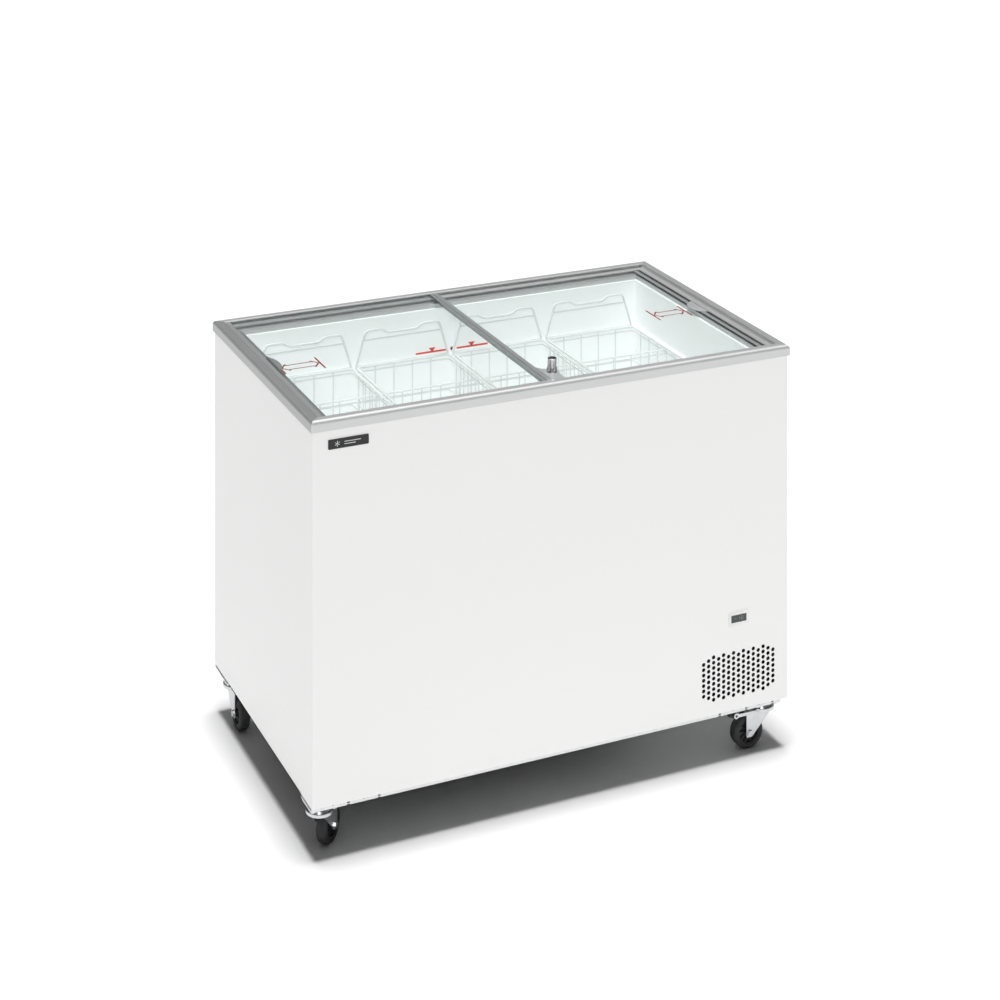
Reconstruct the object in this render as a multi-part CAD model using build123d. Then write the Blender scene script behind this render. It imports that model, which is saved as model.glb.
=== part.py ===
from build123d import *

import math
import os

# A chest freezer with two sliding glass lids, four hanging baskets and four castors.
# Millimetres. The origin is on the floor under the middle of the cabinet, +X is the
# customer's right, +Y is the back and +Z is up.

# ---- driving dimensions ------------------------------------------------------------
BODY_W = 1011.0                # cabinet over its side panels
BODY_D = 614.0                 # cabinet over its front and rear panels
PANEL_BOTTOM = 100.0           # ground clearance under the panels
PANEL_TOP = 790.0
SHEET = 1.0                    # casing sheet thickness
OVERHANG = 3.5                 # top frame past the panels
FRAME_TOP = 811.0
WALL = 60.0                    # panel face to liner face
GAP = 0.2                      # end play between parts that turn on each other
RUN = 0.05                     # radial running clearance

X_FACE = BODY_W / 2
Y_FACE = BODY_D / 2
FRAME_W = BODY_W + 2 * OVERHANG
FRAME_D = BODY_D + 2 * OVERHANG

# top frame section, measured inwards from the frame's outer face
LIP = 20.0                     # width of the top lip
UPPER_GROOVE = 14.0            # how far in from the outer face the upper slot starts
UPPER_EDGE = 33.5              # inner edge of the upper track
LOWER_GROOVE = 27.5
FRAME_INNER = 49.0             # inner edge of the lower track
UPPER_FLOOR = 803.0
LOWER_FLOOR = 796.0
SLOT_H = 5.0
FRAME_FOOT = 788.0             # underside of the frame over the insulation
CORNER_R = 7.5

# lids
GLASS_T = 4.0
GLASS_LIFT = 0.3
PROFILE_TOP = 809.5
BAR_W = 17.0                   # profile where the two lids meet
BAR_X = -20.0
LOWER_BAR_X = (BAR_X - 0.5, BAR_X + 8.5)
LOCK_X, LOCK_Y = 8.5, -247.0
BARREL_TOP = 836.0

# inner liner and machine compartment
LINER_T = 2.0
LINER_X = X_FACE - WALL
LINER_Y = Y_FACE - WALL
LEDGE = 8.0                    # the liner is this much wider above the basket ledge
LEDGE_Z = 690.0
FLOOR_Z = 160.0
STEP_X = 180.0                 # the floor steps up over the machine compartment
STEP_Z = 390.0
MACHINE_X = 225.0
MACHINE_TOP = 345.0

# baskets
BASKETS = 4
BASKET_PITCH = 221.5
BASKET_W = 218.5
BASKET_Y = 241.0
BASKET_FLOOR = 520.0
BASKET_RIM = 694.0
HANDLE_TOP = 768.0
HANDLE_W = 167.0
HOOK_Y = 252.0
DIVIDER_Y = 82.0
WIRE = 3.0

# front panel features
VENT_X, VENT_Z = 391.8, 172.0
VENT_COLUMNS = 15
VENT_PITCH_X, VENT_PITCH_Z = 11.35, 10.5
VENT_R = 4.0
METER_X, METER_Z = 391.8, 281.8
METER_W, METER_H = 47.0, 27.5
WINDOW_W, WINDOW_H = 35.0, 15.2
BADGE_W, BADGE_H = 79.5, 18.0
BADGE_X, BADGE_Z = -435.4, 763.0

# castors: the wheel trails from its swivel axis
WHEEL_R = 33.5
TYRE_W = 22.0
HUB_R = 24.5
TRAIL = 35.0
LEG_T = TRAIL + 8              # outer edge of the fork legs
AXLE_R = 4.0
FORK_INNER, FORK_SHEET = 13.5, 2.0
BRAKE_PIN_R = 2.5
KINGPIN_R = 5.0
CROWN_R = 26.0
CROWN_Z = 74.0
RACEWAY_Z = 82.5
PLATE_Z = 89.5
PLATE = 54.0
RAIL_Z = 92.0
BOLT_SPACING = 41.0
BOLT_R = 3.0
SWIVEL_LEFT, SWIVEL_RIGHT = -478.0, 466.0
SWIVEL_FRONT, SWIVEL_REAR = -270.0, 250.0
BRAKE_T, BRAKE_Z = 66.0, 73.5
# for each castor: where it swivels, the way its wheel trails, and whether it has a brake
CASTORS = {
    "front_left": (SWIVEL_LEFT, SWIVEL_FRONT, 45.0, True),
    "front_right": (SWIVEL_RIGHT, SWIVEL_FRONT, 180.0, True),
    "rear_left": (SWIVEL_LEFT, SWIVEL_REAR, -90.0, False),
    "rear_right": (SWIVEL_RIGHT, SWIVEL_REAR, -110.0, False),
}

# machinery
FAN_X, FAN_Z = 392.0, 178.0
FAN_R = 62.0
FAN_SHAFT_R = 3.0
FAN_Y = -236.0
COMPRESSOR = (352.0, 75.0)
COMPRESSOR_R = 74.0
GRILLE_X = (238.0, 494.0)
GRILLE_Z = (118.0, 332.0)
GRILLE_Y = 280.0
KNOB_X, KNOB_Z = 455.0, 290.0
TUBE_R = 4.0

DRIER = (262.0, 30.0)
EVAPORATOR_OFFSET = LINER_T + TUBE_R + 2
LAP_PITCH = 44.0
LAP_Z = [424.0 + LAP_PITCH * lap for lap in range(6)]
CAPILLARY_Y = 200.0
RISER_X, RISER_PITCH = 420.0, 36.0
SUCTION_X, SUCTION_Y = 232.0, 268.0
CORD_X, CORD_Z, CORD_R = 480.0, 160.0, 4.0
DRAIN_X, DRAIN_R = -385.0, 12.0

# values that follow from the ones above
COIL_X, COIL_Y = LINER_X + EVAPORATOR_OFFSET, LINER_Y + EVAPORATOR_OFFSET
RETURN = 19.0                  # folded edge under each casing panel
RAIL_LOW, RAIL_HIGH = -X_FACE, X_FACE - 14
RAIL_SHEET = 1.5
RAIL_START, RAIL_PITCH = 11.0, 30.3
NOTCH_HALF, PIP_HALF = 2.8, 1.2
UPPER_HALF = FRAME_D / 2 - LIP - 1
LOWER_HALF = FRAME_D / 2 - UPPER_EDGE - 1
RIGHT_END = FRAME_W / 2 - UPPER_EDGE - 5
RIGHT_END_W, RIGHT_END_TOP = 9.0, 801.2
LOCK_SHANK_R = 6.0
BASE = (Align.CENTER, Align.CENTER, Align.MIN)

os.makedirs("parts", exist_ok=True)


# ---- helpers -----------------------------------------------------------------------
def save(node, *solids):
    """Write one named sub-part, as one solid or as a group of separate solids."""
    shape = solids[0] if len(solids) == 1 else Compound(children=list(solids))
    shape.label = node
    export_step(shape, f"parts/{node}.step")


def block(x, y, z):
    """A box given by its (low, high) span on each axis."""
    spans = (x, y, z)
    size = [high - low for low, high in spans]
    middle = [(low + high) / 2 for low, high in spans]
    return Pos(*middle) * Box(*size)


def rod(start, end, radius):
    """A round bar between two points."""
    start, end = Vector(*start), Vector(*end)
    return extrude(Plane(origin=start, z_dir=end - start) * Circle(radius), (end - start).length)


def prism(points, low, high):
    """A plan outline pulled up between two heights."""
    face = Pos(0, 0, low) * make_face(Polyline(*points, close=True))
    return extrude(face, high - low, dir=(0, 0, 1))


def tube(points, radius, bend):
    """A bent tube of round section through the given corner points."""
    path = FilletPolyline(*points, radius=bend)
    return sweep(Plane(origin=path @ 0, z_dir=path % 0) * Circle(radius), path=path)


def hexagon(x, y, low, high, across):
    """An upright hexagonal bar, for bolt heads and nuts."""
    face = Pos(x, y, low) * RegularPolygon(across / 2, 6, major_radius=False)
    return extrude(face, high - low, dir=(0, 0, 1))


# ---- casing ------------------------------------------------------------------------
def vent_centres():
    """Staggered columns of round holes, with the two end columns cut short."""
    for column in range(VENT_COLUMNS):
        end = column in (0, VENT_COLUMNS - 1)
        rows = 7 if end else 9 - column % 2
        x = VENT_X + (column - (VENT_COLUMNS - 1) / 2) * VENT_PITCH_X
        for row in range(rows):
            yield x, VENT_Z + (row - (rows - 1) / 2) * VENT_PITCH_Z


def make_front_panel():
    front, back = -Y_FACE, -Y_FACE + SHEET
    panel = block((-X_FACE, X_FACE), (front, back), (PANEL_BOTTOM, PANEL_TOP))
    panel = fillet(panel.edges().filter_by(Axis.Z).sort_by(Axis.Y)[:2], 0.9)
    panel += block((-X_FACE + 3, X_FACE - 3), (back, back + RETURN), (PANEL_BOTTOM, PANEL_BOTTOM + SHEET))
    holes = Sketch() + [Pos(x, z) * Circle(VENT_R) for x, z in vent_centres()]
    holes += Pos(METER_X, METER_Z) * Rectangle(METER_W - 4, METER_H - 4)
    return panel - Pos(0, back + 1, 0) * extrude(Plane.XZ * holes, SHEET + 2)


def make_side_panel(side):
    """Side sheet between the front and rear panels, with a return under the cabinet."""
    outer, inner = side * X_FACE, side * (X_FACE - SHEET)
    span = (-Y_FACE + SHEET, Y_FACE - SHEET)
    panel = block(sorted((outer, inner)), span, (PANEL_BOTTOM, PANEL_TOP))
    fold = sorted((inner, inner - side * RETURN))
    clear = (-Y_FACE + SHEET + RETURN + 1, Y_FACE - SHEET - RETURN - 1)
    return panel + block(fold, clear, (PANEL_BOTTOM, PANEL_BOTTOM + SHEET))


def make_rear_panel():
    inner, outer = Y_FACE - SHEET, Y_FACE
    panel = block((-X_FACE, X_FACE), (inner, outer), (PANEL_BOTTOM, PANEL_TOP))
    panel += block((-X_FACE + 3, X_FACE - 3), (inner - RETURN, inner), (PANEL_BOTTOM, PANEL_BOTTOM + SHEET))
    return panel - block(GRILLE_X, (inner - 1, outer + 1), GRILLE_Z)


def make_rear_grille():
    """Recessed louvred tray that closes the machine compartment at the back."""
    tray = block(GRILLE_X, (GRILLE_Y, Y_FACE), GRILLE_Z)
    x, z = [(low + 1.2, high - 1.2) for low, high in (GRILLE_X, GRILLE_Z)]
    tray -= block(x, (GRILLE_Y + 1.2, Y_FACE + 1), z)
    louvres = [block((262, 372), (GRILLE_Y - 1, GRILLE_Y + 3), (z, z + 5)) for z in range(140, 316, 14)]
    louvres += [block((390, 472), (GRILLE_Y - 1, GRILLE_Y + 3), (z, z + 5)) for z in range(140, 246, 14)]
    shaft_hole = rod((KNOB_X, GRILLE_Y - 1, KNOB_Z), (KNOB_X, GRILLE_Y + 3, KNOB_Z), 3.5)
    cord_hole = rod((CORD_X, GRILLE_Y - 1, CORD_Z), (CORD_X, GRILLE_Y + 3, CORD_Z), CORD_R)
    return tray - louvres - shaft_hole - cord_hole


def make_base_plate():
    """Sheet under the insulation, with the hole for the drain pipe."""
    plate = block((-X_FACE + SHEET, MACHINE_X), (-Y_FACE + SHEET, Y_FACE - SHEET), (101.0, 102.0))
    return plate - rod((DRAIN_X, 0, 100), (DRAIN_X, 0, 103), DRAIN_R)


def make_machine_tray():
    """Folded tray that carries the compressor and the fan."""
    y = (-Y_FACE + SHEET, Y_FACE - SHEET)
    tray = block((MACHINE_X, X_FACE - SHEET), y, (101.0, 103.0))
    tray += block((MACHINE_X, MACHINE_X + 1.5), (y[0] + 2, y[1] - 2), (103.0, 118.0))
    feet = [rod((x, y, 100), (x, y, 104), 4.0) for x, y in foot_centres()]
    return tray - feet


def rail_marks():
    """Centres of the marks near both ends of a base rail, and whether each is a notch or a pip."""
    for index in range(1, 6):
        if index < 5:
            yield RAIL_LOW + RAIL_START + index * RAIL_PITCH, index % 2 == 0
        yield RAIL_HIGH + RAIL_START - index * RAIL_PITCH, index % 2 == 1


def make_base_rail(near, far, swivel_y):
    """Channel under the cabinet: two flanges for the castor plates, and a web with pips and notches."""
    low, high = RAIL_Z, PANEL_BOTTOM
    x = (RAIL_LOW, RAIL_HIGH)
    y = sorted((near, far))
    web_y = sorted((near, near + math.copysign(RAIL_SHEET, far - near)))
    rail = block(x, y, (low, low + RAIL_SHEET)) + block(x, y, (high - RAIL_SHEET, high))
    rail += block(x, web_y, (low, high))
    cutters = []
    for x_mark, is_notch in rail_marks():
        half = NOTCH_HALF if is_notch else PIP_HALF
        base = low - 1 if is_notch else high - RAIL_SHEET - 2 * PIP_HALF
        across = (x_mark - half, x_mark + half)
        cutters.append(block(across, (web_y[0] - 1, web_y[1] + 1), (base, high - RAIL_SHEET)))
    for x_bolt, y_bolt in bolt_centres():
        if abs(y_bolt - swivel_y) < PLATE:
            hole_top = low + 2 * RAIL_SHEET
            cutters.append(rod((x_bolt, y_bolt, low - 1), (x_bolt, y_bolt, hole_top), BOLT_R + 0.2))
    return rail - cutters


# ---- insulated tub -----------------------------------------------------------------
def cavity(grow):
    """The tub's inner space, or that space grown by the sheet thickness."""
    x, y = LINER_X + grow, LINER_Y + grow
    deep = block((-x, STEP_X + grow), (-y, y), (FLOOR_Z - grow, STEP_Z + 50))
    upper = block((-x, x), (-y, y), (STEP_Z - grow, LEDGE_Z + 5))
    rim = block((-x - LEDGE, x + LEDGE), (-y - LEDGE, y + LEDGE), (LEDGE_Z - grow, FRAME_FOOT + grow))
    return deep + upper + rim


def make_inner_liner():
    flange = 16.0
    x, y = LINER_X + LEDGE + flange, LINER_Y + LEDGE + flange
    shell = cavity(LINER_T) & block((-x, x), (-y, y), (0, FRAME_FOOT))
    shell += block((-x, x), (-y, y), (FRAME_FOOT - LINER_T, FRAME_FOOT))
    shell -= cavity(0)
    return shell - rod((DRAIN_X, 0, FLOOR_Z - 5), (DRAIN_X, 0, FLOOR_Z + 1), DRAIN_R)


def make_insulation():
    """One foam casting between the panels and the liner, relieved for the tubes."""
    top = FRAME_FOOT - LINER_T
    foam = block((-X_FACE + SHEET, X_FACE - SHEET), (-Y_FACE + SHEET, Y_FACE - SHEET), (102.0, top))
    foam -= cavity(LINER_T)
    foam -= block((MACHINE_X, X_FACE), (-Y_FACE, Y_FACE), (100.0, MACHINE_TOP))
    x, y = COIL_X + TUBE_R + 2, COIL_Y + TUBE_R + 2
    foam -= block((-x, x), (-y, y), (LAP_Z[0] - 10, LAP_Z[-1] + 10))
    foam -= block((COIL_X - 4, x), (CAPILLARY_Y - 8, COIL_Y), (MACHINE_TOP - 1, LAP_Z[0]))
    duct_x = (SUCTION_X - 6, SUCTION_X + 20)
    foam -= block(duct_x, (-SUCTION_Y - 6, -y + 1), (MACHINE_TOP - 1, LAP_Z[-1] + 10))
    return foam - rod((DRAIN_X, 0, 100), (DRAIN_X, 0, FLOOR_Z), DRAIN_R)


def make_drain_plug():
    plug = rod((DRAIN_X, 0, FLOOR_Z - 12), (DRAIN_X, 0, FLOOR_Z), DRAIN_R - 2)
    plug += rod((DRAIN_X, 0, FLOOR_Z), (DRAIN_X, 0, FLOOR_Z + 4), DRAIN_R + 4)
    return plug + block((DRAIN_X - 2, DRAIN_X + 2), (-10, 10), (FLOOR_Z + 3, FLOOR_Z + 14))


def make_drain_pipe():
    pipe = rod((DRAIN_X, 0, 96), (DRAIN_X, 0, FLOOR_Z - LINER_T), DRAIN_R)
    pipe += rod((DRAIN_X, 0, FLOOR_Z - LINER_T), (DRAIN_X, 0, FLOOR_Z), DRAIN_R)
    return pipe - rod((DRAIN_X, 0, 90), (DRAIN_X, 0, FLOOR_Z + 1), DRAIN_R - 2)


def make_evaporator():
    """One tube wound around the tub, stepping up along the front wall after each lap."""
    x, y = COIL_X, COIL_Y
    points = [(x, y - 30, LAP_Z[0])]
    for lap, z in enumerate(LAP_Z[:-1]):
        riser, above = RISER_X - RISER_PITCH * lap, z + LAP_PITCH
        points += [(x, y, z), (-x, y, z), (-x, -y, z), (riser, -y, z), (riser, -y, above), (x, -y, above)]
    z = LAP_Z[-1]
    points += [(x, y, z), (-x, y, z), (-x, -y, z), (SUCTION_X, -y, z)]
    return tube(points, TUBE_R, 8.0)


# ---- top frame ---------------------------------------------------------------------
def make_frame_rail(length, upper_slot=True, cove=0.0):
    """A mitred length of frame with two tracks, its outer face towards -Y.

    The front and rear rails have a slot at both tracks. The side rails have only the lower one,
    and may have a rounded cove between lip and upper track.
    """
    slot = UPPER_GROOVE if upper_slot else LIP
    section = [
        (0, PANEL_TOP), (0, FRAME_TOP), (LIP, FRAME_TOP), (LIP, UPPER_FLOOR + SLOT_H),
        (slot, UPPER_FLOOR + SLOT_H), (slot, UPPER_FLOOR), (UPPER_EDGE, UPPER_FLOOR),
        (UPPER_EDGE, LOWER_FLOOR + SLOT_H), (LOWER_GROOVE, LOWER_FLOOR + SLOT_H),
        (LOWER_GROOVE, LOWER_FLOOR), (FRAME_INNER, LOWER_FLOOR), (FRAME_INNER, FRAME_FOOT),
        (UPPER_GROOVE, FRAME_FOOT), (UPPER_GROOVE, PANEL_TOP),
    ]
    if not upper_slot:
        section.remove((LIP, UPPER_FLOOR + SLOT_H))
        section.remove((LIP, UPPER_FLOOR + SLOT_H))
    face = make_face(Plane.YZ * Polyline(*section, close=True))
    rail = Pos(-length / 2, 0, 0) * extrude(face, length, dir=(1, 0, 0))
    top_edges = rail.edges().filter_by(Axis.X).group_by(Axis.Z)[-1].sort_by(Axis.Y)
    rail = fillet(top_edges[0], CORNER_R)
    rail = chamfer(rail.edges().filter_by(Axis.X).group_by(Axis.Z)[-1].sort_by(Axis.Y)[-1], 1.0)
    if cove:
        track = [e for e in rail.edges().filter_by(Axis.X) if abs(e.center().Z - UPPER_FLOOR) < 0.1]
        rail = fillet(ShapeList(track).sort_by(Axis.Y)[0], cove)
    half, inner = length / 2, length / 2 - FRAME_INNER
    wedge = prism([(-half, 0), (half, 0), (inner, FRAME_INNER), (-inner, FRAME_INNER)], 700, 900)
    return rail & wedge


# ---- sliding lids ------------------------------------------------------------------
def pane(x, half_depth, floor):
    low = floor + GLASS_LIFT
    glass = block(x, (-half_depth, half_depth), (low, low + GLASS_T))
    return fillet(glass.edges().filter_by(Axis.Z), 4.0)


def make_end_profile(x, half_depth, low, high, glass):
    """Edge profile pushed over the outer end of a pane."""
    profile = block(x, (-half_depth, half_depth), (low, high))
    profile = fillet(profile.edges().filter_by(Axis.Y).group_by(Axis.Z)[-1], 0.8)
    return profile - glass


def make_upper_bar(glass):
    """Profile on the inner end of the upper pane, with a long groove at a third of its width."""
    low = UPPER_FLOOR + GLASS_LIFT
    x = (BAR_X - BAR_W / 2, BAR_X + BAR_W / 2)
    bar = block(x, (-UPPER_HALF, UPPER_HALF), (low, PROFILE_TOP))
    bar = fillet(bar.edges().filter_by(Axis.Y).group_by(Axis.Z)[-1], 0.8)
    groove = BAR_X - BAR_W / 6
    groove_x, groove_z = (groove - 1, groove + 1), (PROFILE_TOP - 1.8, PROFILE_TOP + 1)
    bar -= block(groove_x, (-UPPER_HALF - 1, UPPER_HALF + 1), groove_z)
    return bar - glass


def make_lower_bar(glass):
    """Profile on the inner end of the lower pane, under the upper one."""
    low = LOWER_FLOOR + GLASS_LIFT
    bar = block(LOWER_BAR_X, (-LOWER_HALF, LOWER_HALF), (low, low + GLASS_T + 2))
    inside = FRAME_D / 2 - FRAME_INNER - 1
    bar += block(LOWER_BAR_X, (-inside, inside), (low - 1.2, low))
    return bar - glass


def half_moon(x, reach, half_length, low, high):
    """A finger grip bulging from a straight edge, towards +X if reach is positive."""
    arc = ThreePointArc((x, -half_length), (x + reach, 0), (x, half_length))
    face = Pos(0, 0, low) * make_face(Line((x, half_length), (x, -half_length)) + arc)
    return extrude(face, high - low, dir=(0, 0, 1))


def make_left_grip():
    x = -FRAME_W / 2 + LIP + 11
    low = UPPER_FLOOR + GLASS_LIFT + GLASS_T
    grip = half_moon(x, 13, 45, low, low + 8.5)
    return fillet(grip.edges().group_by(Axis.Z)[-1], 2.5)


def make_right_grip():
    """Low half-moon that starts at the track's edge, level with it, and bulges over the pane."""
    low = LOWER_FLOOR + GLASS_LIFT + GLASS_T
    grip = half_moon(FRAME_W / 2 - UPPER_EDGE - 0.7, -25, 36, low, low + 2.5)
    grip = chamfer(grip.edges().group_by(Axis.Z)[-1], 0.5)
    return grip - block((RIGHT_END - RIGHT_END_W, RIGHT_END), (-50, 50), (low - 1, RIGHT_END_TOP))


def make_lock_housing():
    """Bracket beside the meeting bar, at the front, that holds the lock barrel."""
    bar_side = BAR_X + BAR_W / 2
    low = UPPER_FLOOR + GLASS_LIFT
    outline = [
        (bar_side, -UPPER_HALF), (LOCK_X + 9, -UPPER_HALF), (LOCK_X + 12.5, LOCK_Y - 4),
        (LOCK_X + 10, LOCK_Y + 8), (LOCK_X + 2, LOCK_Y + 13), (LOCK_X - 9, LOCK_Y + 18),
        (bar_side, LOCK_Y + 36),
    ]
    housing = prism(outline, low, PROFILE_TOP)
    housing = chamfer(housing.edges().group_by(Axis.Z)[-1].sort_by(Axis.X)[1:], 1.5)
    housing -= rod((LOCK_X, LOCK_Y, low), (LOCK_X, LOCK_Y, PROFILE_TOP + 1), LOCK_SHANK_R + RUN)
    return housing - rod((LOCK_X, LOCK_Y, low - 1), (LOCK_X, LOCK_Y, low + 2.6), 10.5)


def make_lock_barrel():
    """Keyed barrel with a tapered head above the bracket and a cam inside it."""
    low = UPPER_FLOOR + GLASS_LIFT
    base = PROFILE_TOP + GAP
    head = Pos(LOCK_X, LOCK_Y, base) * loft([Circle(11.4), Pos(0, 0, 9) * Circle(9.6)])
    head += rod((LOCK_X, LOCK_Y, base + 9), (LOCK_X, LOCK_Y, BARREL_TOP), 8.9)
    head = chamfer(head.edges().group_by(Axis.Z)[-1], 0.8)
    flutes = [
        Pos(LOCK_X, LOCK_Y, 0) * Rot(0, 0, angle) * rod((10.4, 0, base + 3), (10.4, 0, BARREL_TOP - 4), 2.2)
        for angle in range(30, 390, 60)
    ]
    key_slot = block((LOCK_X - 1, LOCK_X + 1), (LOCK_Y - 4, LOCK_Y + 4), (BARREL_TOP - 5, BARREL_TOP + 1))
    shank = rod((LOCK_X, LOCK_Y, low + 0.3), (LOCK_X, LOCK_Y, base + 1), LOCK_SHANK_R)
    cam = block((LOCK_X - 4, LOCK_X + 4), (LOCK_Y - 1, LOCK_Y + 9), (low + 0.3, low + 2.3))
    return head + shank + cam - flutes - key_slot


# ---- baskets -----------------------------------------------------------------------
def make_basket(x):
    """Hanging basket: floor, four sides, two dividers, hooked rims and raised end handles."""
    half = BASKET_W / 2
    y = (-BASKET_Y, BASKET_Y)
    basket = block((x - half, x + half), y, (BASKET_FLOOR, LEDGE_Z))
    inner = (x - half + WIRE, x + half - WIRE)
    edges = [-BASKET_Y + WIRE, -DIVIDER_Y - WIRE / 2, DIVIDER_Y - WIRE / 2, BASKET_Y]
    for near, far in zip(edges, edges[1:]):
        start = near if near == edges[0] else near + WIRE
        stop = far - WIRE if far == edges[-1] else far
        basket -= block(inner, (start, stop), (BASKET_FLOOR + WIRE, LEDGE_Z + 1))
    end = Plane.XZ * make_face(Polyline(
        (x - half, BASKET_RIM), (x + half, BASKET_RIM), (x + HANDLE_W / 2, HANDLE_TOP),
        (x + 45, HANDLE_TOP), (x + 30, HANDLE_TOP - 8), (x - 30, HANDLE_TOP - 8),
        (x - 45, HANDLE_TOP), (x - HANDLE_W / 2, HANDLE_TOP), close=True))
    for side in (-1, 1):
        rim = sorted((side * (BASKET_Y - WIRE), side * HOOK_Y))
        basket += block((x - half, x + half), rim, (LEDGE_Z, BASKET_RIM))
        sheet = extrude(end, WIRE / 2, both=True)
        basket += Pos(0, side * (BASKET_Y + 4), 0) * sheet
    return basket


# ---- castors, built with the swivel axis at the origin and trailing towards +X ------
def on_castor(name, shape):
    x, y, angle, _ = CASTORS[name]
    return Pos(x, y, 0) * Rot(0, 0, angle) * shape


def bolt_centres():
    half = BOLT_SPACING / 2
    for x, y, _, _ in CASTORS.values():
        for dx in (-half, half):
            for dy in (-half, half):
                yield x + dx, y + dy


def make_castor_plate(name):
    """Top plate with the fixed raceway and the headed kingpin below it."""
    x, y, _, _ = CASTORS[name]
    half = PLATE / 2
    plate = block((-half, half), (-half, half), (PLATE_Z, RAIL_Z))
    plate = fillet(plate.edges().filter_by(Axis.Z), 6.0)
    plate += loft([Pos(0, 0, RACEWAY_Z) * Circle(19.0), Pos(0, 0, PLATE_Z) * Circle(23.4)])
    plate += rod((0, 0, CROWN_Z - 3.5), (0, 0, RACEWAY_Z), KINGPIN_R)
    plate += rod((0, 0, CROWN_Z - 3.5), (0, 0, CROWN_Z - GAP), 8.5)
    plate = Pos(x, y, 0) * plate
    holes = [rod((bx, by, PLATE_Z - 1), (bx, by, RAIL_Z + 1), BOLT_R + 0.2) for bx, by in bolt_centres()]
    return plate - holes


def make_castor_bolts():
    """Hexagon bolts from below through plate and channel, each with its nut inside the channel."""
    bolts = []
    nut_low = RAIL_Z + 1.5
    for x, y in bolt_centres():
        head = hexagon(x, y, PLATE_Z - 3.5, PLATE_Z, 9.0)
        bolts.append(head + rod((x, y, PLATE_Z - 1), (x, y, nut_low + 5), BOLT_R))
        nut = hexagon(x, y, nut_low, nut_low + 4.0, 9.0)
        bolts.append(nut - rod((x, y, nut_low - 1), (x, y, nut_low + 6), BOLT_R))
    return bolts


def make_fork(braked):
    """Pressed fork: dished crown over the wheel, two tapering legs and the tabs for a brake."""
    inner, outer = FORK_INNER, FORK_INNER + FORK_SHEET
    top = CROWN_Z + 2.5
    crown = rod((0, 0, CROWN_Z), (0, 0, top), CROWN_R)
    crown += block((0, LEG_T), (-outer, outer), (CROWN_Z, top))
    cup = loft([Pos(0, 0, top) * Circle(20.0), Pos(0, 0, RACEWAY_Z - GAP) * Circle(17.5)])
    edge = Cylinder(CROWN_R, 5.5, align=BASE) - Cylinder(CROWN_R - 2, 6, align=BASE)
    edge = Pos(0, 0, CROWN_Z) * edge
    fork = crown + cup + edge - block((8, 60), (-outer, outer), (top, CROWN_Z + 6))
    foot = WHEEL_R - 8
    leg = Polyline(
        (-18, top), (LEG_T, top), (LEG_T, foot), (TRAIL - 4, foot), (TRAIL - 8, WHEEL_R - 4), close=True,
    )
    for side in (-1, 1):
        sheet = extrude(Plane.XZ * make_face(leg), FORK_SHEET / 2, both=True)
        sheet = fillet(sheet.edges().filter_by(Axis.Y).group_by(Axis.Z)[0], 3.0)
        if braked:
            arm = block((LEG_T - 2, BRAKE_T), (-1, 1), (BRAKE_Z - 3, top))
            arm += rod((BRAKE_T, -1, BRAKE_Z), (BRAKE_T, 1, BRAKE_Z), 5.5)
            sheet += arm
            sheet -= rod((BRAKE_T, -2, BRAKE_Z), (BRAKE_T, 2, BRAKE_Z), BRAKE_PIN_R + RUN)
        sheet -= rod((TRAIL, -2, WHEEL_R), (TRAIL, 2, WHEEL_R), AXLE_R)
        fork += Pos(0, side * (inner + outer) / 2, 0) * sheet
    return fork - rod((0, 0, CROWN_Z - 1), (0, 0, RACEWAY_Z + 1), KINGPIN_R + RUN)


def make_axle():
    """Axle bolt through both legs, with a hexagon outside each."""
    leg = FORK_INNER + FORK_SHEET
    end = leg + 3
    axle = rod((TRAIL, -end, WHEEL_R), (TRAIL, end, WHEEL_R), AXLE_R)
    for low, high in ((-end, -leg), (leg, end)):
        face = Plane.XZ * Pos(TRAIL, WHEEL_R) * RegularPolygon(5.5, 6, major_radius=False)
        axle += Pos(0, high, 0) * extrude(face, high - low)
    return axle


def make_hub():
    """Moulded wheel centre: a rim, a thin web with ribs and a boss around the bore."""
    ends = FORK_INNER - GAP
    hub = rod((0, -10, 0), (0, 10, 0), HUB_R) - rod((0, -11, 0), (0, -4, 0), HUB_R - 3)
    hub -= rod((0, 4, 0), (0, 11, 0), HUB_R - 3)
    hub += rod((0, -ends, 0), (0, ends, 0), 8.0)
    for angle in range(0, 180, 36):
        hub += Rot(0, angle, 0) * block((-HUB_R + 2, HUB_R - 2), (-8, 8), (-1.2, 1.2))
    hub -= rod((0, -15, 0), (0, 15, 0), AXLE_R + RUN)
    return Pos(TRAIL, 0, WHEEL_R) * hub


def make_tyre():
    tyre = rod((0, -TYRE_W / 2, 0), (0, TYRE_W / 2, 0), WHEEL_R)
    tyre = fillet(tyre.edges(), 5.0)
    tyre -= rod((0, -TYRE_W, 0), (0, TYRE_W, 0), HUB_R)
    return Pos(TRAIL, 0, WHEEL_R) * tyre


def make_brake_pedal():
    """Pressed lever on a cross pin between the fork tabs, with a toe plate to step on."""
    leg = FORK_INNER + FORK_SHEET
    half_width = FORK_INNER - 1
    pin = rod((BRAKE_T, -leg, BRAKE_Z), (BRAKE_T, leg, BRAKE_Z), BRAKE_PIN_R)
    lever = rod((BRAKE_T, -half_width, BRAKE_Z), (BRAKE_T, half_width, BRAKE_Z), 5.0)
    toe = Pos(BRAKE_T, BRAKE_Z) * Polyline((0, 5), (14, 2.5), (15, -1), (3, -4.9), (-2, -4.5), close=True)
    plate = extrude(Plane.XZ * make_face(toe), half_width, both=True)
    return pin + lever + plate


# ---- machine compartment -----------------------------------------------------------
def foot_centres():
    x, y = COMPRESSOR
    for dx in (-58, 58):
        for dy in (-72, 72):
            yield x + dx, y + dy


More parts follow.
